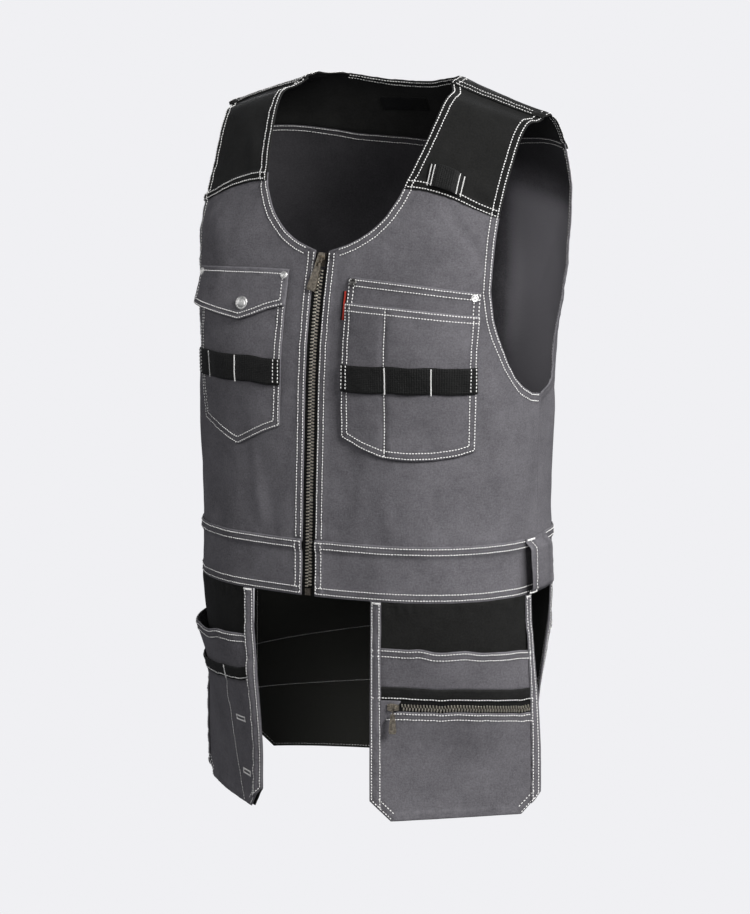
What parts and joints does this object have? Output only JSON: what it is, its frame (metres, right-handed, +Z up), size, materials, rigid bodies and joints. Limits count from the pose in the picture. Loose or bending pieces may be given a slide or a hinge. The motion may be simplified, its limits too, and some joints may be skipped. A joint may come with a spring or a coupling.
{
  "type": "work vest",
  "caption": "Sleeveless utility work vest in grey and black canvas with a full zip, chest pockets and four holster pockets hanging below the waistband, kept in its worn form.",
  "frame": {"origin": "level with the two neck points of the shoulders, on the vest's centre line and at the middle of the body's depth, where a wearer's or stand's shoulders carry it", "axes": "+Z up, -Y is the way the front faces, +X is the wearer's left"},
  "size_m": [0.4685, 0.3077, 0.8624],
  "materials": {
    "grey": "grey cotton canvas",
    "black": "black cotton canvas",
    "tape": "black zip tape",
    "zip_metal": "antique brass, worn",
    "webbing": "black woven webbing",
    "fixing_metal": "bright nickel",
    "tab": "plain dark red woven tab",
    "label": "plain black woven label"
  },
  "bodies": {
    "vest": {"front_panel_left": "grey", "front_panel_right": "grey", "back_panel": "grey", "front_yoke_left": "black", "front_yoke_right": "black", "back_yoke": "black", "waistband_front_left": "grey", "waistband_front_right": "grey", "waistband_back": "grey", "side_loop_left": "grey", "side_loop_right": "grey", "zip_tape_left": "tape", "zip_tape_right": "tape", "zip_chain": "zip_metal", "zip_stop": "zip_metal", "zip_slider": "zip_metal", "left_pocket_back_layer": "grey", "left_pocket_front_layer": "grey", "left_pocket_webbing": "webbing", "right_pocket": "grey", "right_pocket_flap": "grey", "right_pocket_webbing": "webbing", "pocket_snap": "fixing_metal", "right_rivet_inner": "fixing_metal", "right_rivet_outer": "fixing_metal", "left_rivet_inner": "fixing_metal", "left_rivet_outer": "fixing_metal", "pocket_side_tab": "tab", "shoulder_loop": "webbing", "neck_label": "label", "front_holster_left_base": "black", "front_holster_left_upper_pocket": "grey", "front_holster_left_trim": "black", "front_holster_left_zip_tape": "tape", "front_holster_left_lower_pocket": "grey", "front_holster_left_binding_inner": "grey", "front_holster_left_binding_outer": "grey", "front_holster_right_base": "black", "front_holster_right_upper_pocket": "grey", "front_holster_right_trim": "black", "front_holster_right_lower_pocket": "grey", "front_holster_right_binding_inner": "grey", "front_holster_right_binding_outer": "grey", "holster_zip_chain": "zip_metal", "holster_zip_slider": "zip_metal", "rear_holster_left_base": "black", "rear_holster_left_pocket": "grey", "rear_holster_left_binding_inner": "grey", "rear_holster_left_binding_outer": "grey", "rear_holster_right_base": "black", "rear_holster_right_pocket": "grey", "rear_holster_right_binding_inner": "grey", "rear_holster_right_binding_outer": "grey"},
    "zip_pull": {"zip_pull": "zip_metal"},
    "holster_zip_pull": {"holster_zip_pull": "zip_metal"}
  },
  "joints": [
    {"name": "zip_pull_swing", "type": "hinge", "parent": "vest", "child": "zip_pull", "pos_m": [0, -0.1316, -0.20675], "axis": [-0.9816, 0.0452, 0.1854], "range_deg": [0, 165]},
    {"name": "holster_zip_pull_swing", "type": "hinge", "parent": "vest", "child": "holster_zip_pull", "pos_m": [0.11445, -0.15888, -0.71921], "axis": [-0.9148, -0.4037, -0.0073], "range_deg": [0, 150]}
  ]
}
